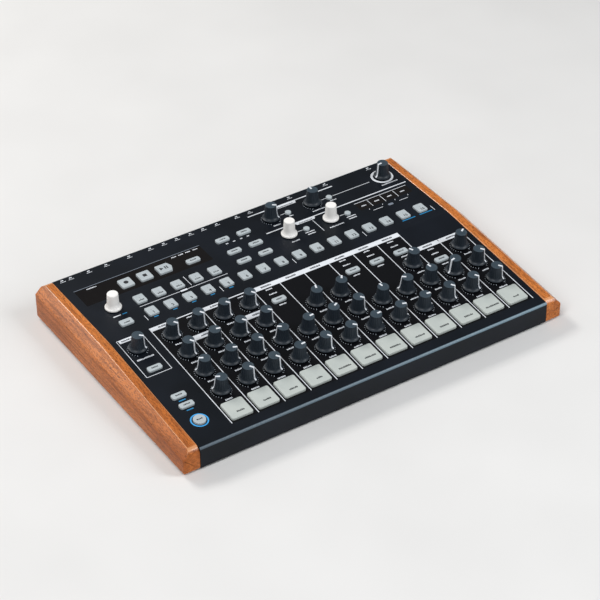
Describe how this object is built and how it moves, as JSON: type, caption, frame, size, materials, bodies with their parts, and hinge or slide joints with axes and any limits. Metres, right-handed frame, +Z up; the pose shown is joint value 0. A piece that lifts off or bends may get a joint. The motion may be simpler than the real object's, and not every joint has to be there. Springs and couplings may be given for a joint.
{
  "type": "drum machine",
  "caption": "Desktop drum machine: folded steel case with wooden cheeks, turning knobs, square pads, step keys and sockets along the back",
  "frame": {"origin": "middle of the overall box, on the surface that the feet stand on", "axes": "+X to the player's right, +Y to the back where the sockets are, +Z up"},
  "size_m": [0.482, 0.316, 0.0628],
  "materials": {
    "case_paint": "fine satin powder coat, near-black navy, with pale printed lines",
    "cheek_wood": "open-grained orange-brown hardwood, oiled to a low sheen",
    "foot_rubber": "soft matt rubber",
    "screw_steel": "blackened steel pan-head screws",
    "board_laminate": "green solder-masked glass-fibre laminate",
    "control_bodies": "moulded control and switch bodies",
    "socket_plastic": "black moulded sockets",
    "smoked_window": "glossy smoked dark window",
    "button_plastic": "pale cool grey translucent keycaps, finely textured",
    "pad_rubber": "pale grey-cream silicone pads",
    "knob_plastic": "dark blue-grey moulded knob with a white pointer and paler cap",
    "encoder_plastic": "smooth off-white moulded knob"
  },
  "bodies": {
    "case": {"top_panel": "case_paint", "base_pan": "case_paint", "left_cheek": "cheek_wood", "right_cheek": "cheek_wood", "rubber_feet": "foot_rubber", "case_screws": "screw_steel", "circuit_boards": "board_laminate", "pots_and_switches": "control_bodies", "rear_sockets": "socket_plastic", "display_and_touch_strip": "smoked_window"},
    "knob_kick1_level": {"knob_kick1_level": "knob_plastic"},
    "knob_kick2_level": {"knob_kick2_level": "knob_plastic"},
    "knob_snare_level": {"knob_snare_level": "knob_plastic"},
    "knob_clap_level": {"knob_clap_level": "knob_plastic"},
    "knob_rim_level": {"knob_rim_level": "knob_plastic"},
    "knob_closed_hat_level": {"knob_closed_hat_level": "knob_plastic"},
    "knob_open_hat_level": {"knob_open_hat_level": "knob_plastic"},
    "knob_high_tom_level": {"knob_high_tom_level": "knob_plastic"},
    "knob_low_tom_level": {"knob_low_tom_level": "knob_plastic"},
    "knob_cymbal_level": {"knob_cymbal_level": "knob_plastic"},
    "knob_maracas_level": {"knob_maracas_level": "knob_plastic"},
    "knob_zap_level": {"knob_zap_level": "knob_plastic"},
    "knob_kick1_tune": {"knob_kick1_tune": "knob_plastic"},
    "knob_kick2_tune": {"knob_kick2_tune": "knob_plastic"},
    "knob_snare_tune": {"knob_snare_tune": "knob_plastic"},
    "knob_clap_tune": {"knob_clap_tune": "knob_plastic"},
    "knob_rim_tune": {"knob_rim_tune": "knob_plastic"},
    "knob_closed_hat_tune": {"knob_closed_hat_tune": "knob_plastic"},
    "knob_open_hat_tune": {"knob_open_hat_tune": "knob_plastic"},
    "knob_high_tom_tune": {"knob_high_tom_tune": "knob_plastic"},
    "knob_low_tom_tune": {"knob_low_tom_tune": "knob_plastic"},
    "knob_cymbal_tune": {"knob_cymbal_tune": "knob_plastic"},
    "knob_maracas_tune": {"knob_maracas_tune": "knob_plastic"},
    "knob_zap_tune": {"knob_zap_tune": "knob_plastic"},
    "knob_kick1_decay": {"knob_kick1_decay": "knob_plastic"},
    "knob_kick2_decay": {"knob_kick2_decay": "knob_plastic"},
    "knob_snare_decay": {"knob_snare_decay": "knob_plastic"},
    "knob_clap_decay": {"knob_clap_decay": "knob_plastic"},
    "knob_closed_hat_decay": {"knob_closed_hat_decay": "knob_plastic"},
    "knob_open_hat_decay": {"knob_open_hat_decay": "knob_plastic"},
    "knob_cymbal_decay": {"knob_cymbal_decay": "knob_plastic"},
    "knob_zap_decay": {"knob_zap_decay": "knob_plastic"},
    "knob_kick1_tone": {"knob_kick1_tone": "knob_plastic"},
    "knob_kick2_tone": {"knob_kick2_tone": "knob_plastic"},
    "knob_snare_tone": {"knob_snare_tone": "knob_plastic"},
    "knob_clap_tone": {"knob_clap_tone": "knob_plastic"},
    "knob_roll_amount": {"knob_roll_amount": "knob_plastic"},
    "knob_filter_cutoff": {"knob_filter_cutoff": "knob_plastic"},
    "knob_filter_resonance": {"knob_filter_resonance": "knob_plastic"},
    "knob_master_volume": {"knob_master_volume": "knob_plastic"},
    "knob_value_encoder": {"knob_value_encoder": "encoder_plastic"},
    "knob_swing_encoder": {"knob_swing_encoder": "encoder_plastic"},
    "knob_random_encoder": {"knob_random_encoder": "encoder_plastic"},
    "step_buttons": {"step_buttons": "button_plastic"},
    "transport_and_mode_buttons": {"transport_and_mode_buttons": "button_plastic"},
    "pattern_and_filter_buttons": {"pattern_and_filter_buttons": "button_plastic"},
    "voice_buttons": {"voice_buttons": "button_plastic"},
    "start_button": {"start_button": "button_plastic"},
    "drum_pads": {"drum_pads": "pad_rubber"},
    "power_switch": {"power_switch": "socket_plastic"}
  },
  "joints": [
    {"name": "knob_kick1_level_turn", "type": "hinge", "parent": "case", "child": "knob_kick1_level", "pos_m": [-0.15787, -0.0958, 0.03354], "axis": [0, -0.076, 0.9971], "range_deg": [-212, 88]},
    {"name": "knob_kick2_level_turn", "type": "hinge", "parent": "case", "child": "knob_kick2_level", "pos_m": [-0.12562, -0.0958, 0.03354], "axis": [0, -0.076, 0.9971], "range_deg": [-4, 296]},
    {"name": "knob_snare_level_turn", "type": "hinge", "parent": "case", "child": "knob_snare_level", "pos_m": [-0.09337, -0.0958, 0.03354], "axis": [0, -0.076, 0.9971], "range_deg": [-4, 296]},
    {"name": "knob_clap_level_turn", "type": "hinge", "parent": "case", "child": "knob_clap_level", "pos_m": [-0.06112, -0.0958, 0.03354], "axis": [0, -0.076, 0.9971], "range_deg": [-64, 236]},
    {"name": "knob_rim_level_turn", "type": "hinge", "parent": "case", "child": "knob_rim_level", "pos_m": [-0.02888, -0.0958, 0.03354], "axis": [0, -0.076, 0.9971], "range_deg": [-2, 298]},
    {"name": "knob_closed_hat_level_turn", "type": "hinge", "parent": "case", "child": "knob_closed_hat_level", "pos_m": [0.00337, -0.0958, 0.03354], "axis": [0, -0.076, 0.9971], "range_deg": [-18, 282]},
    {"name": "knob_open_hat_level_turn", "type": "hinge", "parent": "case", "child": "knob_open_hat_level", "pos_m": [0.03562, -0.0958, 0.03354], "axis": [0, -0.076, 0.9971], "range_deg": [-63, 237]},
    {"name": "knob_high_tom_level_turn", "type": "hinge", "parent": "case", "child": "knob_high_tom_level", "pos_m": [0.06788, -0.0958, 0.03354], "axis": [0, -0.076, 0.9971], "range_deg": [-40, 260]},
    {"name": "knob_low_tom_level_turn", "type": "hinge", "parent": "case", "child": "knob_low_tom_level", "pos_m": [0.10013, -0.0958, 0.03354], "axis": [0, -0.076, 0.9971], "range_deg": [-52, 248]},
    {"name": "knob_cymbal_level_turn", "type": "hinge", "parent": "case", "child": "knob_cymbal_level", "pos_m": [0.13237, -0.0958, 0.03354], "axis": [0, -0.076, 0.9971], "range_deg": [-5, 295]},
    {"name": "knob_maracas_level_turn", "type": "hinge", "parent": "case", "child": "knob_maracas_level", "pos_m": [0.16462, -0.0958, 0.03354], "axis": [0, -0.076, 0.9971], "range_deg": [-5, 295]},
    {"name": "knob_zap_level_turn", "type": "hinge", "parent": "case", "child": "knob_zap_level", "pos_m": [0.19687, -0.0958, 0.03354], "axis": [0, -0.076, 0.9971], "range_deg": [-6, 294]},
    {"name": "knob_kick1_tune_turn", "type": "hinge", "parent": "case", "child": "knob_kick1_tune", "pos_m": [-0.15787, -0.0628, 0.03606], "axis": [0, -0.076, 0.9971], "range_deg": [-212, 88]},
    {"name": "knob_kick2_tune_turn", "type": "hinge", "parent": "case", "child": "knob_kick2_tune", "pos_m": [-0.12562, -0.0628, 0.03606], "axis": [0, -0.076, 0.9971], "range_deg": [-35, 265]},
    {"name": "knob_snare_tune_turn", "type": "hinge", "parent": "case", "child": "knob_snare_tune", "pos_m": [-0.09337, -0.0628, 0.03606], "axis": [0, -0.076, 0.9971], "range_deg": [-10, 290]},
    {"name": "knob_clap_tune_turn", "type": "hinge", "parent": "case", "child": "knob_clap_tune", "pos_m": [-0.06112, -0.0628, 0.03606], "axis": [0, -0.076, 0.9971], "range_deg": [-208, 92]},
    {"name": "knob_rim_tune_turn", "type": "hinge", "parent": "case", "child": "knob_rim_tune", "pos_m": [-0.02888, -0.0628, 0.03606], "axis": [0, -0.076, 0.9971], "range_deg": [-65, 235]},
    {"name": "knob_closed_hat_tune_turn", "type": "hinge", "parent": "case", "child": "knob_closed_hat_tune", "pos_m": [0.00337, -0.0628, 0.03606], "axis": [0, -0.076, 0.9971], "range_deg": [-87, 213]},
    {"name": "knob_open_hat_tune_turn", "type": "hinge", "parent": "case", "child": "knob_open_hat_tune", "pos_m": [0.03562, -0.0628, 0.03606], "axis": [0, -0.076, 0.9971], "range_deg": [-10, 290]},
    {"name": "knob_high_tom_tune_turn", "type": "hinge", "parent": "case", "child": "knob_high_tom_tune", "pos_m": [0.06788, -0.0628, 0.03606], "axis": [0, -0.076, 0.9971], "range_deg": [-160, 140]},
    {"name": "knob_low_tom_tune_turn", "type": "hinge", "parent": "case", "child": "knob_low_tom_tune", "pos_m": [0.10013, -0.0628, 0.03606], "axis": [0, -0.076, 0.9971], "range_deg": [-208, 92]},
    {"name": "knob_cymbal_tune_turn", "type": "hinge", "parent": "case", "child": "knob_cymbal_tune", "pos_m": [0.13237, -0.0628, 0.03606], "axis": [0, -0.076, 0.9971], "range_deg": [-160, 140]},
    {"name": "knob_maracas_tune_turn", "type": "hinge", "parent": "case", "child": "knob_maracas_tune", "pos_m": [0.16462, -0.0628, 0.03606], "axis": [0, -0.076, 0.9971], "range_deg": [-253, 47]},
    {"name": "knob_zap_tune_turn", "type": "hinge", "parent": "case", "child": "knob_zap_tune", "pos_m": [0.19687, -0.0628, 0.03606], "axis": [0, -0.076, 0.9971], "range_deg": [-10, 290]},
    {"name": "knob_kick1_decay_turn", "type": "hinge", "parent": "case", "child": "knob_kick1_decay", "pos_m": [-0.15787, -0.0298, 0.03858], "axis": [0, -0.076, 0.9971], "range_deg": [-4, 296]},
    {"name": "knob_kick2_decay_turn", "type": "hinge", "parent": "case", "child": "knob_kick2_decay", "pos_m": [-0.12562, -0.0298, 0.03858], "axis": [0, -0.076, 0.9971], "range_deg": [-48, 252]},
    {"name": "knob_snare_decay_turn", "type": "hinge", "parent": "case", "child": "knob_snare_decay", "pos_m": [-0.09337, -0.0298, 0.03858], "axis": [0, -0.076, 0.9971], "range_deg": [-8, 292]},
    {"name": "knob_clap_decay_turn", "type": "hinge", "parent": "case", "child": "knob_clap_decay", "pos_m": [-0.06112, -0.0298, 0.03858], "axis": [0, -0.076, 0.9971], "range_deg": [-13, 287]},
    {"name": "knob_closed_hat_decay_turn", "type": "hinge", "parent": "case", "child": "knob_closed_hat_decay", "pos_m": [0.00337, -0.0298, 0.03858], "axis": [0, -0.076, 0.9971], "range_deg": [-133, 167]},
    {"name": "knob_open_hat_decay_turn", "type": "hinge", "parent": "case", "child": "knob_open_hat_decay", "pos_m": [0.03562, -0.0298, 0.03858], "axis": [0, -0.076, 0.9971], "range_deg": [-116, 184]},
    {"name": "knob_cymbal_decay_turn", "type": "hinge", "parent": "case", "child": "knob_cymbal_decay", "pos_m": [0.13237, -0.0298, 0.03858], "axis": [0, -0.076, 0.9971], "range_deg": [-178, 122]},
    {"name": "knob_zap_decay_turn", "type": "hinge", "parent": "case", "child": "knob_zap_decay", "pos_m": [0.19687, -0.0298, 0.03858], "axis": [0, -0.076, 0.9971], "range_deg": [-95, 205]},
    {"name": "knob_kick1_tone_turn", "type": "hinge", "parent": "case", "child": "knob_kick1_tone", "pos_m": [-0.15787, 0.0032, 0.04109], "axis": [0, -0.076, 0.9971], "range_deg": [-6, 294]},
    {"name": "knob_kick2_tone_turn", "type": "hinge", "parent": "case", "child": "knob_kick2_tone", "pos_m": [-0.12562, 0.0032, 0.04109], "axis": [0, -0.076, 0.9971], "range_deg": [-6, 294]},
    {"name": "knob_snare_tone_turn", "type": "hinge", "parent": "case", "child": "knob_snare_tone", "pos_m": [-0.09337, 0.0032, 0.04109], "axis": [0, -0.076, 0.9971], "range_deg": [-8, 292]},
    {"name": "knob_clap_tone_turn", "type": "hinge", "parent": "case", "child": "knob_clap_tone", "pos_m": [-0.06112, 0.0032, 0.04109], "axis": [0, -0.076, 0.9971], "range_deg": [-6, 294]},
    {"name": "knob_roll_amount_turn", "type": "hinge", "parent": "case", "child": "knob_roll_amount", "pos_m": [-0.2002, 0.003, 0.04108], "axis": [0, -0.076, 0.9971], "range_deg": [-20, 280]},
    {"name": "knob_filter_cutoff_turn", "type": "hinge", "parent": "case", "child": "knob_filter_cutoff", "pos_m": [0.0443, 0.125, 0.0428], "axis": [0, 0, 1], "range_deg": [-22, 278]},
    {"name": "knob_filter_resonance_turn", "type": "hinge", "parent": "case", "child": "knob_filter_resonance", "pos_m": [0.1007, 0.125, 0.0428], "axis": [0, 0, 1], "range_deg": [-152, 148]},
    {"name": "knob_master_volume_turn", "type": "hinge", "parent": "case", "child": "knob_master_volume", "pos_m": [0.1996, 0.1265, 0.0428], "axis": [0, 0, 1], "range_deg": [-246, 54]},
    {"name": "knob_value_encoder_turn", "type": "hinge", "parent": "case", "child": "knob_value_encoder", "pos_m": [-0.188, 0.0767, 0.0428], "axis": [0, 0, 1], "continuous": true},
    {"name": "knob_swing_encoder_turn", "type": "hinge", "parent": "case", "child": "knob_swing_encoder", "pos_m": [0.045, 0.0876, 0.0428], "axis": [0, 0, 1], "continuous": true},
    {"name": "knob_random_encoder_turn", "type": "hinge", "parent": "case", "child": "knob_random_encoder", "pos_m": [0.1014, 0.0876, 0.0428], "axis": [0, 0, 1], "continuous": true},
    {"name": "step_buttons_press", "type": "slide", "parent": "case", "child": "step_buttons", "axis": [0, 0, -1], "range_m": [0, 0.001], "stiffness_N_per_m": 600},
    {"name": "transport_and_mode_buttons_press", "type": "slide", "parent": "case", "child": "transport_and_mode_buttons", "axis": [0, 0, -1], "range_m": [0, 0.001], "stiffness_N_per_m": 600},
    {"name": "pattern_and_filter_buttons_press", "type": "slide", "parent": "case", "child": "pattern_and_filter_buttons", "axis": [0, 0, -1], "range_m": [0, 0.001], "stiffness_N_per_m": 600},
    {"name": "voice_buttons_press", "type": "slide", "parent": "case", "child": "voice_buttons", "axis": [0, 0.076, -0.9971], "range_m": [0, 0.001], "stiffness_N_per_m": 600},
    {"name": "start_button_press", "type": "slide", "parent": "case", "child": "start_button", "axis": [0, 0.076, -0.9971], "range_m": [0, 0.001], "stiffness_N_per_m": 600},
    {"name": "drum_pads_press", "type": "slide", "parent": "case", "child": "drum_pads", "axis": [0, 0.076, -0.9971], "range_m": [0, 0.001], "stiffness_N_per_m": 600},
    {"name": "power_switch_rock", "type": "hinge", "parent": "case", "child": "power_switch", "pos_m": [0.201, 0.153, 0.02], "axis": [1, 0, 0], "range_deg": [0, 20]}
  ]
}
